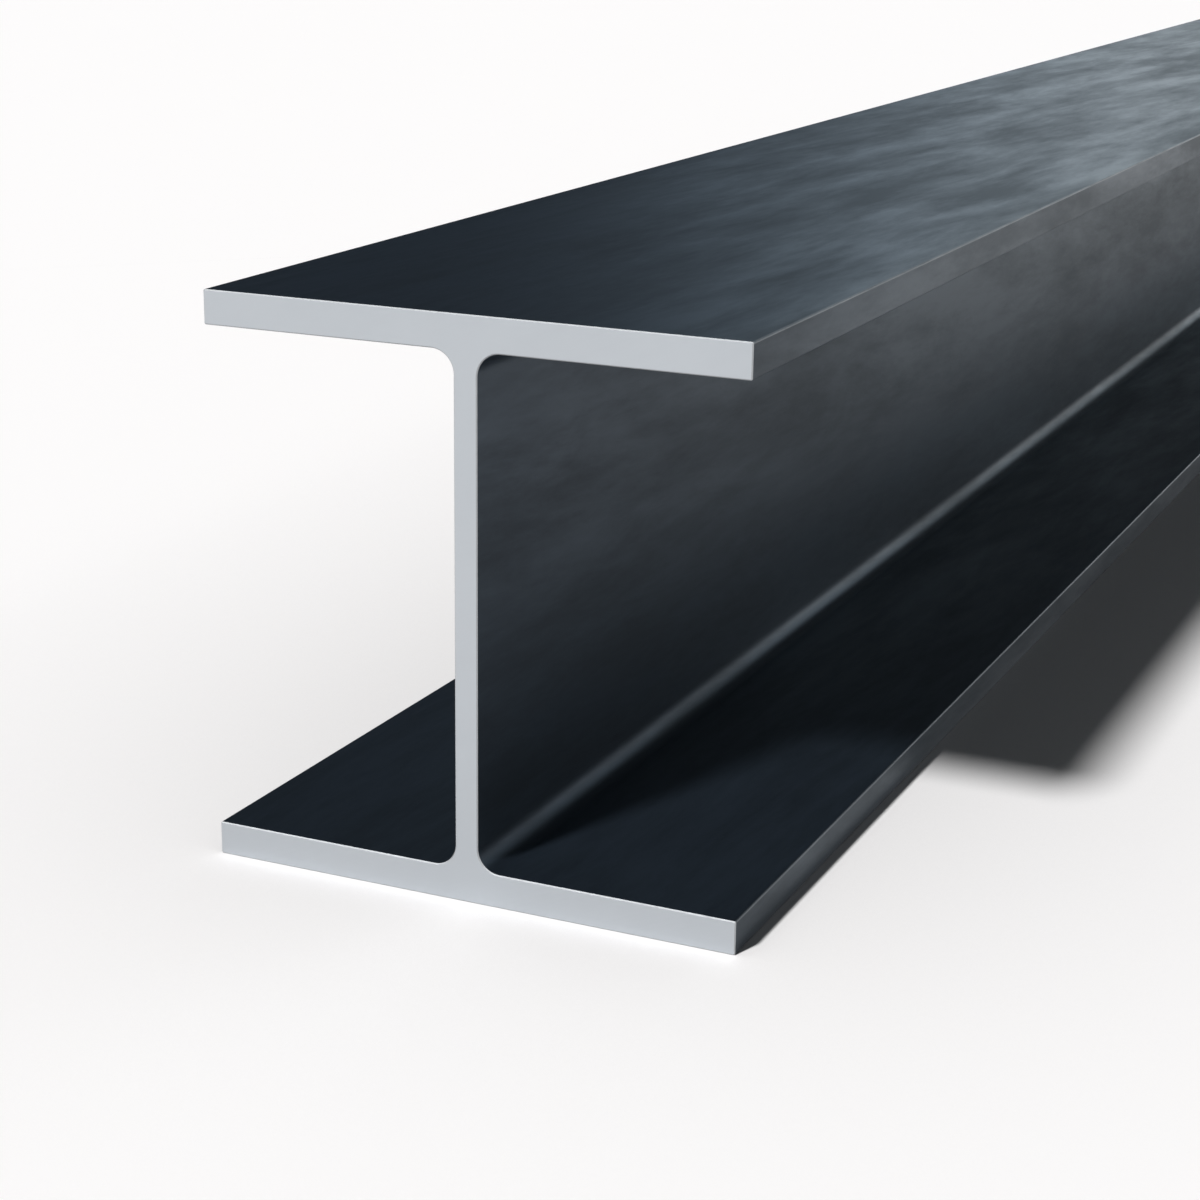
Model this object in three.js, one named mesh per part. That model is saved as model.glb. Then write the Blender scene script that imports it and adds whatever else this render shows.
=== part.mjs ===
// Hot-rolled steel I-beam: a wide-flange section with parallel flanges, sawn to a stock length.
// Units are millimetres, +Z is up and the beam lies along Y on the underside of its bottom flange.
// The origin is at mid-length, on the beam's centreline, level with the surface it rests on.
import * as THREE from "three";

// Driving dimensions.
const LENGTH = 3000; // overall, from sawn end to sawn end
const SECTION_DEPTH = 157.5; // over both flanges, along Z
const FLANGE_WIDTH = 152.9; // along X
const FLANGE_THICKNESS = 9.3;
const WEB_THICKNESS = 6.6;
const ROOT_RADIUS = 6.35; // the concave fillet where the web runs into each flange
const TOE_RADIUS = 0.5; // the rolls leave the flange's long edges this round
const END_CHAMFER = 0.3; // the burr of the saw cut is filed back by this much all round

// How finely the round stretches are divided.
const ROOT_STEPS = 24;
const TOE_STEPS = 4;

const QUARTER_TURN = Math.PI / 2;

// Rolling leaves a tight blue-black oxide along the beam, and the saw cuts through it to bright steel.
const sawnSteel = new THREE.MeshStandardMaterial({ color: 0xc2c7cc, roughness: 0.42, metalness: 0.9 });
const millScale = new THREE.MeshStandardMaterial({ color: 0x2a3036, roughness: 0.4, metalness: 0.6 });

// The points of a quarter arc of the section, turning one way or the other.
function quarterArc({ x, y, radius, from, clockwise, steps }) {
  const to = clockwise ? from - QUARTER_TURN : from + QUARTER_TURN;
  return new THREE.ArcCurve(x, y, radius, from, to, clockwise).getPoints(steps);
}

// The top right quarter of the section, about the section's own centre. It runs up the face of the web,
// round the root into the underside of the flange, out to the toe, and round the toe to the top face.
function quarterOutline() {
  const flangeTop = SECTION_DEPTH / 2;
  const flangeUnderside = flangeTop - FLANGE_THICKNESS;
  const webFace = WEB_THICKNESS / 2;
  const toeCentreX = FLANGE_WIDTH / 2 - TOE_RADIUS;
  const root = quarterArc({
    x: webFace + ROOT_RADIUS,
    y: flangeUnderside - ROOT_RADIUS,
    radius: ROOT_RADIUS,
    from: Math.PI,
    clockwise: true,
    steps: ROOT_STEPS,
  });
  const toe = { x: toeCentreX, radius: TOE_RADIUS, clockwise: false, steps: TOE_STEPS };
  const toeUnderside = quarterArc({ ...toe, y: flangeUnderside + TOE_RADIUS, from: -QUARTER_TURN });
  const toeTop = quarterArc({ ...toe, y: flangeTop - TOE_RADIUS, from: 0 });
  return [...root, ...toeUnderside, ...toeTop];
}

// The same points mirrored across the section's axes. A single mirror reverses the way they run round.
function mirrored(points, { acrossX, acrossY }) {
  const copy = points.map((p) => new THREE.Vector2(acrossX ? -p.x : p.x, acrossY ? -p.y : p.y));
  return acrossX === acrossY ? copy : copy.reverse();
}

// The whole section, counter-clockwise, from its four like quarters.
function sectionShape() {
  const topRight = quarterOutline();
  return new THREE.Shape([
    ...topRight,
    ...mirrored(topRight, { acrossX: true, acrossY: false }),
    ...mirrored(topRight, { acrossX: true, acrossY: true }),
    ...mirrored(topRight, { acrossX: false, acrossY: true }),
  ]);
}

// The section carried along the beam, with its outline drawn in by the chamfer at each sawn end.
function beamGeometry() {
  const geometry = new THREE.ExtrudeGeometry(sectionShape(), {
    depth: LENGTH - 2 * END_CHAMFER,
    steps: 1,
    bevelEnabled: true,
    bevelThickness: END_CHAMFER,
    bevelSize: END_CHAMFER,
    bevelOffset: -END_CHAMFER,
    bevelSegments: 1,
  });
  return geometry.translate(0, 0, END_CHAMFER - LENGTH / 2);
}

// One rolled piece: the extrusion's first material is on its two ends and its second on its long faces.
function iBeam() {
  const beam = new THREE.Mesh(beamGeometry(), [sawnSteel, millScale]);
  beam.name = "i_beam";
  beam.rotation.x = QUARTER_TURN;
  beam.position.z = SECTION_DEPTH / 2;
  return beam;
}

const steelIBeam = new THREE.Group();
steelIBeam.add(iBeam());

export default steelIBeam;
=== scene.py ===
"""Looks of a hot-rolled steel I-beam, lying on a studio floor.

The beam is one rolled piece. Its long faces keep the blue-black scale of the mill, and the saw
leaves a bright face on each end. All sizes are metres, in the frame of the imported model: +Y runs
along the beam, +Z up its web, and the origin lies under its middle.
"""

import logging
import math
from dataclasses import dataclass, field
from enum import IntEnum

import bpy
import numpy as np
from mathutils import Matrix, Vector


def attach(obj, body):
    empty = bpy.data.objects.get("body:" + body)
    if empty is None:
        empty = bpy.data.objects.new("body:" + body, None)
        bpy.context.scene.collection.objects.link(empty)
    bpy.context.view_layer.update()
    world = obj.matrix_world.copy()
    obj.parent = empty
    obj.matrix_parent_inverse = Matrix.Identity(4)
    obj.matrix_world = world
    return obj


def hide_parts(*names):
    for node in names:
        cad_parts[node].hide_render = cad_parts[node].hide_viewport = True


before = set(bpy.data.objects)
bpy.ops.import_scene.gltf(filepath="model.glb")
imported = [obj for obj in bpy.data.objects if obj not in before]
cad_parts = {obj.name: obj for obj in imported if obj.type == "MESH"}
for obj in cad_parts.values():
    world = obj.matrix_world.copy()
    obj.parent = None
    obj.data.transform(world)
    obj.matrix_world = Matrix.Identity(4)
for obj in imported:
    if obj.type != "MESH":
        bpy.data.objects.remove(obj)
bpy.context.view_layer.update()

BEAM_NODE = "i_beam"

# A colour Mix node's sockets go by number, because its socket names repeat for each kind of data.
MIX_FACTOR, MIX_FIRST, MIX_SECOND = 0, 6, 7
MIX_RESULT = 2

Colour = tuple[float, float, float]
Pair = tuple[float, float]
Triple = tuple[float, float, float]

log = logging.getLogger("beam")


class Skin(IntEnum):
    """What the steel's surface is on a face, by the number of its material slot."""

    MILL_SCALE = 0
    SAWN = 1
    # Up-facing toe arrises: lighter bared metal, partly wear from slings and partly a painted
    # highlight.
    RUBBED_HIGHLIT = 2
    FILED = 3


class NodeSketch:
    """A node tree under construction, with short calls for the nodes that the finishes share."""

    def __init__(self, tree: bpy.types.NodeTree) -> None:
        """Empties the tree.

        Args:
            tree: the node tree of a material or of the world.
        """
        tree.nodes.clear()
        self.tree = tree

    def add(self, kind: str, **settings: object) -> bpy.types.Node:
        """Adds a node.

        Args:
            kind: the node's type, such as "ShaderNodeTexNoise".
            settings: properties of the node itself.

        Returns:
            The new node.
        """
        node = self.tree.nodes.new(kind)
        for name, value in settings.items():
            setattr(node, name, value)
        return node

    def feed(self, socket: bpy.types.NodeSocket, value: object) -> None:
        """Links a socket to another node's output, or sets it to a plain value.

        Args:
            socket: the input to feed.
            value: an output socket, a number, a vector or a colour.
        """
        if isinstance(value, bpy.types.NodeSocket):
            self.tree.links.new(value, socket)
        elif socket.type == "RGBA":
            socket.default_value = (*value, 1.0)
        else:
            socket.default_value = value

    def object_coordinates(
        self,
        stretch: Triple,
        turn: Triple = (0.0, 0.0, 0.0),
        start: Triple = (0.0, 0.0, 0.0),
    ) -> bpy.types.NodeSocket:
        """The piece's own coordinates, turned and then scaled, for a pattern that has a grain.

        Args:
            stretch: the length of the pattern's unit along each axis, in metres.
            turn: the turn about each axis, in degrees, before the scale.
            start: where the pattern begins, in its own units.

        Returns:
            The scaled vector.
        """
        source = self.add("ShaderNodeTexCoord")
        turned = self.add("ShaderNodeMapping")
        self.feed(turned.inputs["Vector"], source.outputs["Object"])
        self.feed(turned.inputs["Rotation"], tuple(math.radians(t) for t in turn))
        scaled = self.add("ShaderNodeMapping")
        self.feed(scaled.inputs["Vector"], turned.outputs["Vector"])
        self.feed(scaled.inputs["Scale"], tuple(1.0 / s for s in stretch))
        self.feed(scaled.inputs["Location"], start)
        return scaled.outputs["Vector"]

    def ramp(
        self,
        value: bpy.types.NodeSocket,
        low: float,
        high: float,
        to_low: float = 0.0,
        to_high: float = 1.0,
        soft: bool = True,
    ) -> bpy.types.NodeSocket:
        """Maps low..high on to to_low..to_high, and holds the ends.

        Args:
            value: the number to map.
            low: the value that gives to_low.
            high: the value that gives to_high.
            to_low: the result at and below low.
            to_high: the result at and above high.
            soft: whether the ramp eases in and out.

        Returns:
            The mapped number.
        """
        kind = "SMOOTHSTEP" if soft else "LINEAR"
        node = self.add("ShaderNodeMapRange", interpolation_type=kind, clamp=True)
        for name, number in (
            ("Value", value),
            ("From Min", low),
            ("From Max", high),
            ("To Min", to_low),
            ("To Max", to_high),
        ):
            self.feed(node.inputs[name], number)
        return node.outputs["Result"]

    def combine(self, how: str, *numbers: object) -> bpy.types.NodeSocket:
        """Combines two or three numbers.

        Args:
            how: Blender's name of the operation, such as "MULTIPLY".
            numbers: sockets or plain numbers, in the order of the node's inputs.

        Returns:
            The result.
        """
        node = self.add("ShaderNodeMath", operation=how)
        for socket, number in zip(node.inputs, numbers):
            self.feed(socket, number)
        return node.outputs["Value"]

    def blend(
        self, factor: object, first: object, second: object, how: str = "MIX"
    ) -> bpy.types.NodeSocket:
        """Blends two colours.

        Args:
            factor: how much of the second colour counts, from 0 to 1.
            first: a colour or a colour socket.
            second: a colour or a colour socket.
            how: Blender's name of the blend, "MIX" to pass from one to the other or "ADD".

        Returns:
            The blended colour.
        """
        node = self.add("ShaderNodeMix", data_type="RGBA", blend_type=how)
        self.feed(node.inputs[MIX_FACTOR], factor)
        self.feed(node.inputs[MIX_FIRST], first)
        self.feed(node.inputs[MIX_SECOND], second)
        return node.outputs[MIX_RESULT]

    def bump(
        self, height: bpy.types.NodeSocket, strength: float, depth: float
    ) -> bpy.types.NodeSocket:
        """Turns a height from 0 to 1 into a bent normal.

        Args:
            height: the height pattern.
            strength: how much of it shows.
            depth: the height that 1 stands for, in metres.

        Returns:
            The bent normal.
        """
        node = self.add("ShaderNodeBump")
        self.feed(node.inputs["Height"], height)
        self.feed(node.inputs["Strength"], strength)
        self.feed(node.inputs["Distance"], depth)
        return node.outputs["Normal"]

    def surface(self, **sockets: object) -> None:
        """Ends the tree in one Principled shader.

        Args:
            sockets: values for its inputs, by name with _ for each space.
        """
        shader = self.add("ShaderNodeBsdfPrincipled")
        for name, value in sockets.items():
            self.feed(shader.inputs[name.replace("_", " ")], value)
        output = self.add("ShaderNodeOutputMaterial")
        self.feed(output.inputs["Surface"], shader.outputs["BSDF"])


def new_material(name: str) -> tuple[bpy.types.Material, NodeSketch]:
    """Makes an empty node material.

    Args:
        name: the material's name.

    Returns:
        The material, and the sketch of its tree.
    """
    material = bpy.data.materials.new(name)
    material.use_nodes = True
    return material, NodeSketch(material.node_tree)


@dataclass(frozen=True)
class Fractal:
    """A fractal noise from 0 to 1, and the range of it that counts.

    Attributes:
        scale: features for each unit of the vector that it is read at.
        detail: how many octaves it has.
        rough: how strong each octave is beside the one before.
        swirl: how far the noise bends itself.
        low: where its range begins.
        high: where its range ends.
    """

    scale: float = 1.0
    detail: float = 4.0
    rough: float = 0.6
    swirl: float = 0.0
    low: float = 0.3
    high: float = 0.7

    def value(self, sketch: NodeSketch, vector: bpy.types.NodeSocket) -> bpy.types.NodeSocket:
        """The noise as it comes.

        Args:
            sketch: the tree under construction.
            vector: where to read it.

        Returns:
            The noise value.
        """
        node = sketch.add("ShaderNodeTexNoise", noise_dimensions="3D")
        sketch.feed(node.inputs["Vector"], vector)
        sketch.feed(node.inputs["Scale"], self.scale)
        sketch.feed(node.inputs["Detail"], self.detail)
        sketch.feed(node.inputs["Roughness"], self.rough)
        sketch.feed(node.inputs["Distortion"], self.swirl)
        return node.outputs["Fac"]

    def eased(self, sketch: NodeSketch, vector: bpy.types.NodeSocket) -> bpy.types.NodeSocket:
        """The noise as 0 below its range and 1 above it, eased between."""
        return sketch.ramp(self.value(sketch, vector), self.low, self.high)


@dataclass(frozen=True)
class MillScale:
    """The tight oxide of hot rolling: dark blue-grey, glossy at a low angle, clouded lengthwise.

    Attributes:
        dark: the reflectance of the dark clouds.
        light: the reflectance of the light clouds.
        edge_gloss: the tint of the reflection near a grazing angle.
        metal: how far the scale counts as metal.
        lustre: the specular level of the rest of it.
        smooth: the roughness of the light clouds.
        dull: the roughness of the dark clouds.
        gloss_range: the tones from which and up to which the roughness changes.
        clouds: the broad noise.
        wisps: the finer noise in it.
        wisp_share: the part of the tone that the wisps make up.
        cloud_size: the noise's unit along each axis, in metres.
        lean: the noise's turn about each axis, in degrees.
        start: where in the noise the pattern begins, in its units.
        grain: the noise of the fine grain.
        grain_size: the grain's unit, in metres.
        grain_bump: the grain's strength as a bump, and its depth in metres.
    """

    dark: Colour = (0.0111, 0.0156, 0.0217)
    light: Colour = (0.0260, 0.0363, 0.0506)
    edge_gloss: Colour = (0.925, 0.964, 0.980)
    metal: float = 0.61
    lustre: float = 0.032
    smooth: float = 0.35
    dull: float = 0.47
    gloss_range: Pair = (0.15, 0.85)
    clouds: Fractal = Fractal(1.0, 8.0, 0.69, 0.15, 0.32, 0.68)
    wisps: Fractal = Fractal(2.3, 7.0, 0.70, 0.3, 0.30, 0.70)
    wisp_share: float = 0.35
    cloud_size: Triple = (0.033, 0.19, 0.033)
    lean: Triple = (3.4, 0.0, 3.15)
    start: Triple = (29.6, 1.99, 56.34)
    grain: Fractal = Fractal(detail=3.0)
    grain_size: float = 0.0011
    grain_bump: Pair = (0.12, 0.00004)

    def material(self) -> bpy.types.Material:
        """Builds the finish.

        Clouds and finer wisps are fractal noises, about six times as long along the beam as across
        it and leaning a little off its axis. Together they pull the reflectance between dark and
        light, and the gloss between dull and smooth. A grain of about a millimetre roughens the
        surface.

        Returns:
            The material.
        """
        material, sketch = new_material("mill_scale")
        along = sketch.object_coordinates(self.cloud_size, self.lean, self.start)
        clouds = self.clouds.eased(sketch, along)
        wisps = sketch.combine("MULTIPLY", self.wisps.eased(sketch, along), self.wisp_share)
        tone = sketch.combine("MULTIPLY_ADD", clouds, 1.0 - self.wisp_share, wisps)
        grain = self.grain.value(sketch, sketch.object_coordinates((self.grain_size,) * 3))
        sketch.surface(
            Base_Color=sketch.blend(tone, self.dark, self.light),
            Metallic=self.metal,
            Specular_IOR_Level=self.lustre,
            Roughness=sketch.ramp(tone, *self.gloss_range, self.dull, self.smooth, soft=False),
            Specular_Tint=self.edge_gloss,
            Normal=sketch.bump(grain, *self.grain_bump),
        )
        return material


@dataclass(frozen=True)
class SawnSteel:
    """The bare metal of the cut ends: pale and even, with the saw's faint, straight lines.

    Attributes:
        pale: the reflectance of the lighter patches.
        shade: the reflectance of the darker patches.
        roughness: the middle of the roughness.
        spread: how far the lines take the roughness down and up from there.
        lines: the noise of the saw's lines.
        line_size: its unit along each axis before it leans, in metres.
        line_bump: the lines' strength as a bump, and their depth in metres.
        lean: how far the lines lean from level, in degrees.
        patches: the noise of the tone.
        patch_size: its unit, in metres.
    """

    pale: Colour = (0.424, 0.450, 0.477)
    shade: Colour = (0.411, 0.437, 0.464)
    roughness: float = 0.34
    spread: Pair = (-0.03, 0.04)
    lines: Fractal = Fractal(detail=3.0, rough=0.55)
    line_size: Triple = (0.06, 0.06, 0.0009)
    line_bump: Pair = (0.10, 0.00003)
    lean: float = 24.0
    patches: Fractal = Fractal(low=0.35, high=0.65)
    patch_size: float = 0.05

    def material(self) -> bpy.types.Material:
        """Builds the finish.

        The saw's lines are a noise that is squeezed across the cut and long along it. Their height
        gives the bump and varies the roughness, and broad patches vary the tone a little.

        Returns:
            The material.
        """
        material, sketch = new_material("sawn_steel")
        across = sketch.object_coordinates(self.line_size, (0.0, self.lean, 0.0))
        lines = self.lines.value(sketch, across)
        broad = self.patches.eased(sketch, sketch.object_coordinates((self.patch_size,) * 3))
        low, high = (self.roughness + part for part in self.spread)
        sketch.surface(
            Base_Color=sketch.blend(broad, self.shade, self.pale),
            Metallic=1.0,
            Roughness=sketch.ramp(lines, self.lines.low, self.lines.high, low, high),
            Normal=sketch.bump(lines, *self.line_bump),
        )
        return material


@dataclass(frozen=True)
class EdgeWearAndHighlight:
    """A narrow edge of lighter bared metal, for the chamfer filed after the saw and for the
    up-facing toe arrises, where it is partly wear from slings and partly a painted highlight.

    Attributes:
        colour: the reflectance of the bared metal.
        roughness: the middle of the roughness.
        spread: how far the nicks take the roughness to each side of it.
        nicks: the noise of the nicks.
        nick_size: its unit along each axis, in metres.
    """

    colour: Colour
    roughness: float
    spread: float = 0.05
    nicks: Fractal = Fractal()
    nick_size: Triple = (0.002, 0.02, 0.002)

    def material(self, name: str) -> bpy.types.Material:
        """Builds the finish: bare metal, with a fine noise that breaks the gloss a little.

        Args:
            name: the material's name.

        Returns:
            The material.
        """
        material, sketch = new_material(name)
        nicks = self.nicks.value(sketch, sketch.object_coordinates(self.nick_size))
        gloss = (self.roughness - self.spread, self.roughness + self.spread)
        sketch.surface(
            Base_Color=self.colour,
            Metallic=1.0,
            Roughness=sketch.ramp(nicks, self.nicks.low, self.nicks.high, *gloss, soft=False),
        )
        return material


@dataclass(frozen=True)
class Section:
    """The rolled section, a web between two parallel flanges, drawn about its own centre.

    The first coordinate runs across the flanges and the second up the web.

    Attributes:
        depth: the height over both flanges.
        width: the width of the flanges.
        flange: the thickness of a flange.
        web: the thickness of the web.
        root: the radius of the fillets between web and flange.
        toe: the radius of the flanges' arrises.
        web_steps: the stretches in half of the web's face.
        root_steps: the stretches in a root fillet.
        flat_steps: the stretches in a flange's face, from root to toe.
        toe_steps: the stretches in a toe's arc.
        level: how much the normals at a stretch's ends, added up, must rise for it to face up.
    """

    depth: float = 0.1575
    width: float = 0.1529
    flange: float = 0.0093
    web: float = 0.0066
    root: float = 0.00635
    toe: float = 0.0005
    web_steps: int = 5
    root_steps: int = 24
    flat_steps: int = 6
    toe_steps: int = 6
    level: float = 0.01

    @property
    def root_end(self) -> int:
        """The number of the quarter's point where the root fillet meets the flange's inner face."""
        return self.web_steps + self.root_steps

    def quarter(self) -> tuple[np.ndarray, np.ndarray]:
        """The top right quarter, from mid-web up to the flange's outer face.

        Its stretches are straight up the web's face; round the root, centre plus radius times
        (-cos t, sin t); out along the inner face; round the toe's two arcs, centre plus radius
        times (cos t, sin t); and back along the outer face, over the same places as the inner one.

        Returns:
            The points and their outward normals, one row each.
        """
        outer = self.depth / 2
        inner = outer - self.flange
        face = self.web / 2
        root_x, root_z = face + self.root, inner - self.root
        toe_x = self.width / 2 - self.toe
        rise = np.linspace(0.0, root_z, self.web_steps + 1)[:-1]
        turn = np.linspace(0.0, math.pi / 2, self.root_steps + 1)
        reach = np.linspace(root_x, toe_x, self.flat_steps + 1)[1:-1]
        arc = np.linspace(0.0, math.pi / 2, self.toe_steps + 1)
        round_low = np.stack([np.sin(arc), -np.cos(arc)], 1)
        round_high = np.stack([np.cos(arc), np.sin(arc)], 1)
        root_out = np.stack([np.cos(turn), -np.sin(turn)], 1)
        back = np.append(reach[::-1], root_x)
        points = np.concatenate(
            [
                np.stack([np.full_like(rise, face), rise], 1),
                np.array([root_x, root_z]) - self.root * root_out,
                np.stack([reach, np.full_like(reach, inner)], 1),
                np.array([toe_x, inner + self.toe]) + self.toe * round_low,
                np.array([toe_x, outer - self.toe]) + self.toe * round_high,
                np.stack([back, np.full_like(back, outer)], 1),
            ]
        )
        normals = np.concatenate(
            [
                np.tile([1.0, 0.0], (len(rise), 1)),
                root_out,
                np.tile([0.0, -1.0], (len(reach), 1)),
                round_low,
                round_high,
                np.tile([0.0, 1.0], (len(back), 1)),
            ]
        )
        return points, normals

    def outline(self) -> tuple[np.ndarray, np.ndarray]:
        """The whole section, counter-clockwise from mid-web on the right.

        The other three quarters are the first one mirrored, with the points in reverse after a
        single mirror, and the mid-web points that two quarters share are kept once.

        Returns:
            The points and their outward normals, one row each.
        """
        whole = []
        for rows in self.quarter():
            left = rows[::-1] * (-1.0, 1.0)
            whole.append(np.concatenate([rows, left, -rows[1:], rows[:0:-1] * (1.0, -1.0)]))
        return whole[0], whole[1]

    def rubbed_highlit(self) -> np.ndarray:
        """Which stretches of the outline, from a point to the next, are arrises that face up and so
        take the lighter metal, partly wear from slings and partly a painted highlight on the side
        that faces up.

        Returns:
            One flag for each stretch: on a toe's arc, with its normal clearly above the level.
        """
        points, normals = self.outline()
        middle = (points + np.roll(points, -1, 0)) / 2
        facing = normals + np.roll(normals, -1, 0)
        on_toe = np.abs(middle[:, 0]) > self.width / 2 - self.toe
        return on_toe & (facing[:, 1] > self.level)

    def cap_quads(self) -> np.ndarray:
        """The quads that fill the section, as numbers of outline points.

        Across the web and roots, each point is paired with its mirror image on the other side. In
        each half flange, each point of the inner face is paired with the outer face's point above
        it. Two neighbouring pairs bound a quad, and one quad joins the web to each flange.

        Returns:
            Four point numbers in each row, in no set direction.
        """
        count = len(self.quarter()[0])
        step = np.arange(count)
        right, left = step, 2 * count - 1 - step
        lower_left = 2 * count - 1 + step
        lower_right = (4 * count - 2 - step) % (4 * count - 2)
        end, last = self.root_end, count - 1
        quads = []
        for one, other in ((right, left), (lower_right, lower_left)):
            across = np.stack([one, other], 1)
            quads.append(self._between(across[: end + 1]))
            quads.append(self._between(across[[end, last]]))
        half = (count - end) // 2
        for quarter in (right, left, lower_left, lower_right):
            pairs = np.stack([quarter[end : end + half], quarter[::-1][:half]], 1)
            quads.append(self._between(pairs))
        return np.concatenate(quads)

    @staticmethod
    def _between(pairs: np.ndarray) -> np.ndarray:
        """The quads between neighbouring pairs of points, one pair in each row."""
        return np.concatenate([pairs[:-1], pairs[1:, ::-1]], 1)


@dataclass
class RolledBeam:
    """The beam: its section carried along its length, and chamfered where the burr is filed off.

    Attributes:
        section: the rolled section.
        length: the length over both ends.
        chamfer: the filed chamfer round each end.
        stations: the rings of points between the chamfers.
        crease: the angle between faces, in degrees, from which their edge is sharp.
        scale: the finish of the long faces.
        sawn: the finish of the ends.
        rubbed_highlit: the finish of the toe arrises that face up, lighter bared metal that is
            partly wear from slings and partly a painted highlight.
        filed: the finish of the chamfer.
    """

    section: Section = field(default_factory=Section)
    length: float = 3.0
    chamfer: float = 0.0003
    stations: int = 121
    crease: float = 30.0
    scale: MillScale = field(default_factory=MillScale)
    sawn: SawnSteel = field(default_factory=SawnSteel)
    # Lighter metal on the up-facing toe arrises: partly wear from slings, partly a painted
    # highlight.
    rubbed_highlit: EdgeWearAndHighlight = EdgeWearAndHighlight((0.070, 0.079, 0.088), 0.42)
    filed: EdgeWearAndHighlight = EdgeWearAndHighlight((0.350, 0.363, 0.375), 0.70)

    def surface(self) -> tuple[np.ndarray, np.ndarray, np.ndarray]:
        """Works out the closed surface.

        A point is outline(u) at station v. The first and last rings lie in the end faces, drawn in
        along the outline's normal by the chamfer, and the rings between them are evenly spaced.

        Returns:
            The points, the quads as point numbers, and each quad's skin.
        """
        points, normals = self.section.outline()
        drawn_in = points - self.chamfer * normals
        half = self.length / 2
        inner = np.linspace(-half + self.chamfer, half - self.chamfer, self.stations)
        along = np.concatenate([[-half], inner, [half]])
        rings = np.repeat(points[None], len(along), 0)
        rings[[0, -1]] = drawn_in
        grid = np.empty((*rings.shape[:2], 3))
        grid[..., 0] = rings[..., 0]
        grid[..., 1] = along[:, None]
        grid[..., 2] = rings[..., 1] + self.section.depth / 2
        ring, place = np.meshgrid(np.arange(len(along) - 1), np.arange(len(points)), indexing="ij")
        here, beyond = ring * len(points), (ring + 1) * len(points)
        following = (place + 1) % len(points)
        sides = np.stack(
            [here + place, here + following, beyond + following, beyond + place], -1
        ).reshape(-1, 4)
        # Up-facing toe arrises take the lighter metal: partly wear from slings, partly a painted
        # highlight.
        long_faces = np.where(self.section.rubbed_highlit()[place], Skin.RUBBED_HIGHLIT, Skin.MILL_SCALE)
        at_end = (ring == 0) | (ring == len(along) - 2)
        skin = np.where(at_end, Skin.FILED, long_faces).ravel()
        caps = self.section.cap_quads()
        near = self._facing(caps, points, forwards=False)
        far = self._facing(caps, points, forwards=True) + (len(along) - 1) * len(points)
        quads = np.concatenate([sides[:, ::-1], near, far])
        skin = np.concatenate([skin, np.full(len(near) + len(far), Skin.SAWN)])
        return grid.reshape(-1, 3), quads, skin

    @staticmethod
    def _facing(quads: np.ndarray, points: np.ndarray, forwards: bool) -> np.ndarray:
        """Turns each cap quad to face along the beam, by the sign of its area.

        Args:
            quads: point numbers, four in each row.
            points: the outline, across and up.
            forwards: whether the cap faces +Y.

        Returns:
            The quads, each in the right direction.
        """
        diagonals = points[quads[:, 2:]] - points[quads[:, :2]]
        area = diagonals[:, 0, 0] * diagonals[:, 1, 1] - diagonals[:, 0, 1] * diagonals[:, 1, 0]
        wrong = (area > 0) == forwards
        return np.where(wrong[:, None], quads[:, ::-1], quads)

    def build(self) -> bpy.types.Object:
        """Makes the beam's mesh and dresses it.

        Returns:
            The finished object, riding on the model's root body.
        """
        points, quads, skin = self.surface()
        mesh = bpy.data.meshes.new("rolled_beam")
        mesh.from_pydata(points.tolist(), [], quads.tolist())
        mesh.materials.append(self.scale.material())
        mesh.materials.append(self.sawn.material())
        # The up-facing arrises' finish: partly wear from slings, partly a painted highlight.
        mesh.materials.append(self.rubbed_highlit.material("rubbed_highlit_edge"))
        mesh.materials.append(self.filed.material("filed_edge"))
        mesh.polygons.foreach_set("material_index", skin.astype(np.int32))
        mesh.polygons.foreach_set("use_smooth", np.ones(len(quads), dtype=bool))
        mesh.set_sharp_from_angle(angle=math.radians(self.crease))
        mesh.validate()
        beam = bpy.data.objects.new("rolled_beam", mesh)
        bpy.context.scene.collection.objects.link(beam)
        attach(beam, "root")
        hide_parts(BEAM_NODE)
        log.info("rolled_beam: %d points, %d quads", len(points), len(quads))
        return beam


@dataclass(frozen=True)
class Viewpoint:
    """Where the camera stands and how it is turned.

    Attributes:
        place: the camera's place.
        yaw: degrees to the left of +Y.
        pitch: degrees above the level.
        roll: degrees about the line of sight.
        lens: the focal length, in millimetres.
        sensor: the width of the sensor, in millimetres.
        nearest: the near clip.
        farthest: the far clip.
    """

    place: Vector = field(default_factory=lambda: Vector((0.28356, -2.04410, 0.26940)))
    yaw: float = 24.317
    pitch: float = -16.822
    roll: float = 0.751
    lens: float = 75.1
    sensor: float = 36.0
    nearest: float = 0.01
    farthest: float = 1000.0

    def build(self) -> bpy.types.Object:
        """Makes the camera: it looks along +Y, turned by roll, then pitch, then yaw.

        Returns:
            The camera, which is also set as the scene's.
        """
        data = bpy.data.cameras.new("camera")
        data.lens = self.lens
        data.sensor_width = self.sensor
        data.clip_start = self.nearest
        data.clip_end = self.farthest
        camera = bpy.data.objects.new("camera", data)
        turn = (
            Matrix.Rotation(math.radians(self.yaw), 4, "Z")
            @ Matrix.Rotation(math.radians(90.0 + self.pitch), 4, "X")
            @ Matrix.Rotation(math.radians(self.roll), 4, "Z")
        )
        camera.matrix_world = Matrix.Translation(self.place) @ turn
        bpy.context.scene.collection.objects.link(camera)
        bpy.context.scene.camera = camera
        return camera


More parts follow.
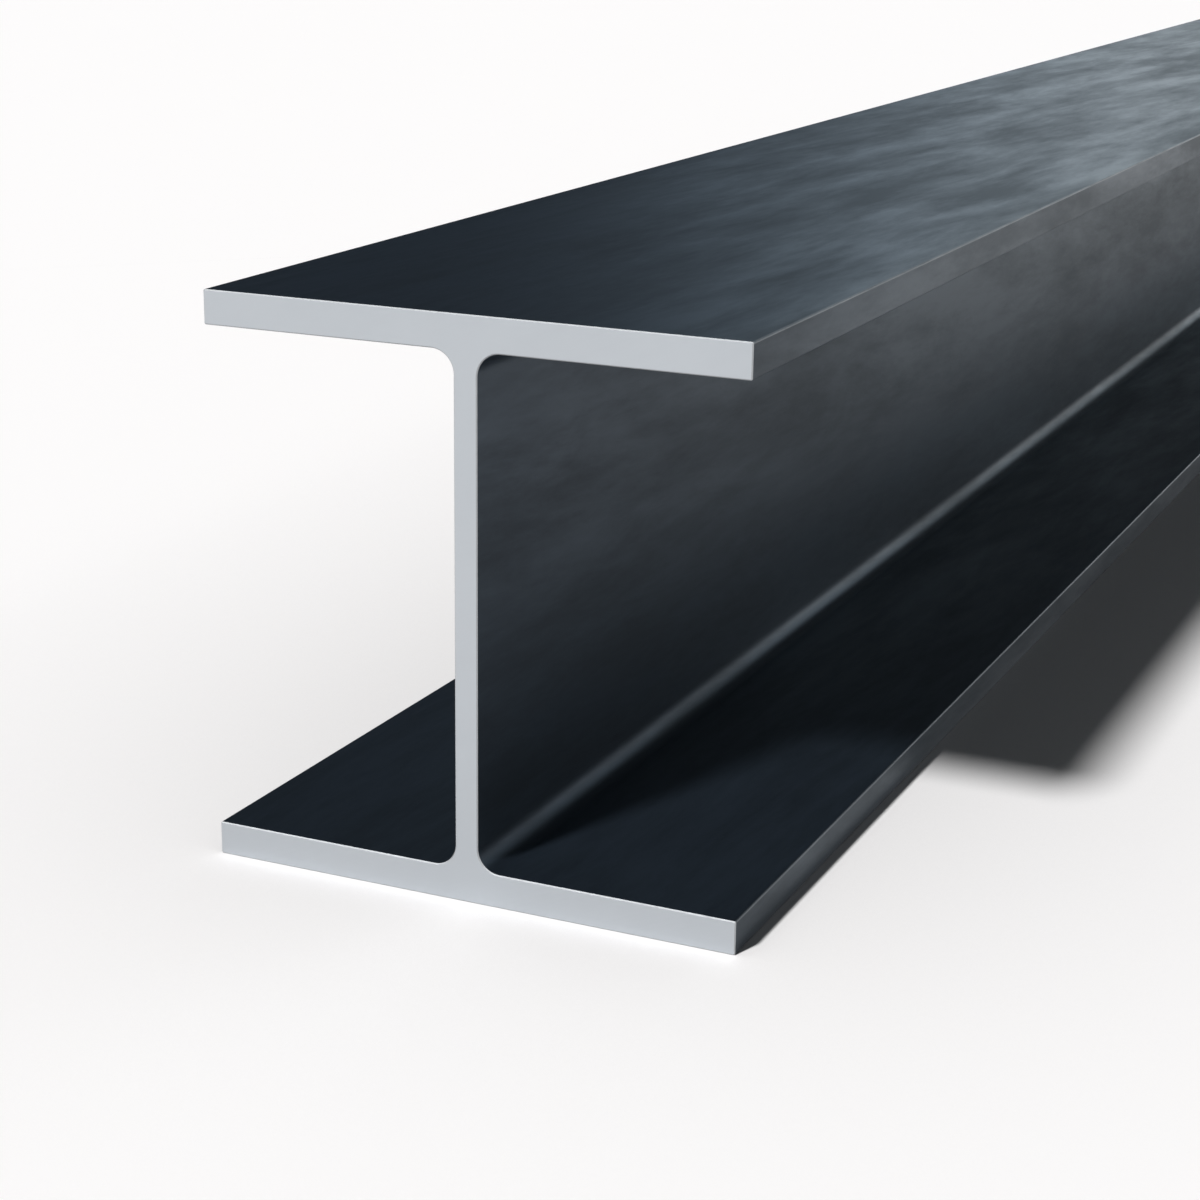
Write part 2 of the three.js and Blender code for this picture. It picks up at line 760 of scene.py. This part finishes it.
@dataclass(frozen=True)
class SoftPatch:
    """A patch of the surroundings with soft sides and top, by its bearings to the right of +Y.

    Attributes:
        left: the bearing of its left side, in degrees.
        right: the bearing of its right side.
        side_blur: how many degrees each side eases over, to each side of its bearing.
        top: the height of its top above the level, in degrees.
        top_blur: how many degrees the top eases over, above and below that.
    """

    left: float
    right: float
    side_blur: float
    top: float
    top_blur: float

    def mask(self, sketch: NodeSketch) -> bpy.types.NodeSocket:
        """How much of the patch shows in a direction.

        For a bearing a to the right of +Y, the direction's part along (cos b, -sin b, 0) is
        sin(a - b) near the horizon, which is 0 at the patch's side b. Each side eases over its
        blur, and so does the top over the sine of the height.

        Args:
            sketch: the world's tree.

        Returns:
            1 inside the patch and 0 outside.
        """
        direction = sketch.add("ShaderNodeTexCoord").outputs["Generated"]
        blur = math.sin(math.radians(self.side_blur))
        inside_left = sketch.ramp(self._past(sketch, direction, self.left), -blur, blur)
        inside_right = sketch.ramp(self._past(sketch, direction, self.right), blur, -blur)
        height = sketch.add("ShaderNodeSeparateXYZ")
        sketch.feed(height.inputs[0], direction)
        high = math.sin(math.radians(self.top + self.top_blur))
        low = math.sin(math.radians(self.top - self.top_blur))
        below_top = sketch.ramp(height.outputs["Z"], high, low)
        between = sketch.combine("MULTIPLY", inside_left, inside_right)
        return sketch.combine("MULTIPLY", between, below_top)

    @staticmethod
    def _past(
        sketch: NodeSketch, direction: bpy.types.NodeSocket, bearing: float
    ) -> bpy.types.NodeSocket:
        """The sine of how far a direction lies to the right of a bearing.

        Args:
            sketch: the world's tree.
            direction: the direction that is looked in.
            bearing: degrees to the right of +Y.

        Returns:
            The direction's part along (cos b, -sin b, 0).
        """
        node = sketch.add("ShaderNodeVectorMath", operation="DOT_PRODUCT")
        turn = math.radians(bearing)
        sketch.feed(node.inputs[0], direction)
        sketch.feed(node.inputs[1], (math.cos(turn), -math.sin(turn), 0.0))
        return node.outputs["Value"]


@dataclass(frozen=True)
class SoftWindow:
    """A broad soft light behind the beam, low on its right, as part of the surroundings.

    Attributes:
        patch: where it is.
        colour: its light.
        rim: the colour that its soft sides and top pass through.
    """

    patch: SoftPatch = SoftPatch(left=-18.2, right=40.0, side_blur=7.6, top=23.0, top_blur=10.5)
    colour: Colour = (1.50, 1.635, 1.696)
    rim: Colour = (1.25, 1.62, 1.96)

    def over(self, sketch: NodeSketch, around: bpy.types.NodeSocket) -> bpy.types.NodeSocket:
        """The window's light over the colour around it, passing through the rim's colour.

        Args:
            sketch: the world's tree.
            around: the colour outside the window.

        Returns:
            The colour in each direction.
        """
        mask = self.patch.mask(sketch)
        return sketch.blend(mask, around, sketch.blend(mask, self.rim, self.colour))


@dataclass(frozen=True)
class WarmStrip:
    """A low warm light at the far edge of the floor, along the foot of the window.

    Attributes:
        patch: where it is.
        colour: its light.
    """

    patch: SoftPatch = SoftPatch(left=-0.8, right=45.0, side_blur=8.0, top=4.0, top_blur=6.0)
    colour: Colour = (1.30, 0.968, 0.810)

    def on(self, sketch: NodeSketch, light: bpy.types.NodeSocket) -> bpy.types.NodeSocket:
        """Adds the strip's light to the light that is already there."""
        return sketch.blend(self.patch.mask(sketch), light, self.colour, "ADD")


@dataclass(frozen=True)
class Flag:
    """A black card behind the window, which the steel mirrors and the camera doesn't see.

    Attributes:
        patch: where it is.
        black: its colour.
    """

    patch: SoftPatch = SoftPatch(left=-60.0, right=48.0, side_blur=8.0, top=75.0, top_blur=10.0)
    black: Colour = (0.0054, 0.0054, 0.0054)


@dataclass
class Studio:
    """A pale floor and backdrop, a soft key from the front left and a soft window at the back.

    Attributes:
        key_towards: the direction of the key.
        key_strength: its strength, in watts per square metre.
        key_spread: how wide it is, in degrees.
        floor_colour: the floor in the open.
        floor_shade: painted shade in the floor's colour, the share of that colour that is lost
            where all the sky is hidden.
        shade_reach: how near the beam has to be to hide sky.
        shade_rays: the rays that look for it.
        shade_lean: the direction that those rays spread around.
        floor_reflection_glow: painted light, a glow that the floor gives off only in reflections,
            though it is no lamp.
        floor_reach: half the side of the floor.
        backdrop: the colour to look at.
        gloom: the dim light from all round.
        flag: the black card.
        window: the soft window.
        strip: the warm strip.
    """

    key_towards: Vector = field(default_factory=lambda: Vector((-0.334, -1.036, 1.0)))
    key_strength: float = 4.39
    key_spread: float = 6.0
    floor_colour: Colour = (0.985, 0.970, 0.968)
    floor_shade: float = 0.46
    shade_reach: float = 0.3
    shade_rays: int = 8
    shade_lean: Vector = field(default_factory=lambda: Vector((1.38, 1.64, 1.0)))
    floor_reflection_glow: float = 0.259
    floor_reach: float = 250.0
    backdrop: Colour = (1.0, 1.0, 1.0)
    gloom: Colour = (0.0180, 0.0160, 0.0140)
    flag: Flag = Flag()
    window: SoftWindow = SoftWindow()
    strip: WarmStrip = WarmStrip()

    def build(self) -> None:
        """Makes the floor, the key and the surroundings, and sets the plain view transform."""
        self._floor()
        self._key()
        self._surroundings()
        bpy.context.scene.view_settings.view_transform = "Standard"

    def _floor(self) -> None:
        """Lays a matt pale floor under the beam, with painted shade in its colour near the beam and
        a painted glow that only reflections see.
        """
        reach = self.floor_reach
        mesh = bpy.data.meshes.new("studio_floor")
        corners = [(-reach, -reach, 0), (reach, -reach, 0), (reach, reach, 0), (-reach, reach, 0)]
        mesh.from_pydata(corners, [], [(0, 1, 2, 3)])
        material, sketch = new_material("studio_floor")
        glossy = sketch.add("ShaderNodeLightPath").outputs["Is Glossy Ray"]
        openness = sketch.add("ShaderNodeAmbientOcclusion", samples=self.shade_rays)
        sketch.feed(openness.inputs["Distance"], self.shade_reach)
        sketch.feed(openness.inputs["Normal"], self.shade_lean.normalized())
        # Painted shade: the floor's colour darkens by up to floor_shade where the beam hides the
        # sky within shade_reach.
        shaded = tuple(part * (1.0 - self.floor_shade) for part in self.floor_colour)
        sketch.surface(
            Base_Color=sketch.blend(openness.outputs["AO"], shaded, self.floor_colour),
            Roughness=1.0,
            Specular_IOR_Level=0.0,
            # Painted light: the floor glows, though it is no lamp, and only for mirrored rays, so
            # the steel mirrors it lighter, in its shadow too.
            Emission_Color=(1.0, 1.0, 1.0),
            Emission_Strength=sketch.combine("MULTIPLY", glossy, self.floor_reflection_glow),
        )
        mesh.materials.append(material)
        floor = bpy.data.objects.new("studio_floor", mesh)
        bpy.context.scene.collection.objects.link(floor)

    def _key(self) -> None:
        """Hangs the key light, far off, so that it lights the whole floor evenly."""
        data = bpy.data.lights.new("key", "SUN")
        data.energy = self.key_strength
        data.angle = math.radians(self.key_spread)
        key = bpy.data.objects.new("key", data)
        key.rotation_mode = "QUATERNION"
        key.rotation_quaternion = self.key_towards.to_track_quat("Z", "Y")
        bpy.context.scene.collection.objects.link(key)

    def _surroundings(self) -> None:
        """Fills the world: a dim light, a pale backdrop to look at, and the window and strip.

        The camera sees the backdrop all round. Mirrored and transmitted rays see it too, with the
        flag.
        """
        world = bpy.data.worlds.new("studio")
        bpy.context.scene.world = world
        world.use_nodes = True
        sketch = NodeSketch(world.node_tree)
        path = sketch.add("ShaderNodeLightPath").outputs
        mirrored = sketch.combine("MAXIMUM", path["Is Glossy Ray"], path["Is Transmission Ray"])
        looking = sketch.combine("MAXIMUM", path["Is Camera Ray"], mirrored)
        flagged = sketch.combine("MULTIPLY", self.flag.patch.mask(sketch), mirrored)
        backdrop = sketch.blend(flagged, self.backdrop, self.flag.black)
        around = sketch.blend(looking, self.gloom, backdrop)
        light = self.strip.on(sketch, self.window.over(sketch, around))
        background = sketch.add("ShaderNodeBackground")
        sketch.feed(background.inputs["Color"], light)
        output = sketch.add("ShaderNodeOutputWorld")
        sketch.feed(output.inputs["Surface"], background.outputs["Background"])


def main() -> None:
    """Builds the camera, the beam and the studio."""
    logging.basicConfig(level=logging.INFO, format="%(message)s")
    Viewpoint().build()
    RolledBeam().build()
    Studio().build()


if __name__ == "__main__":
    main()
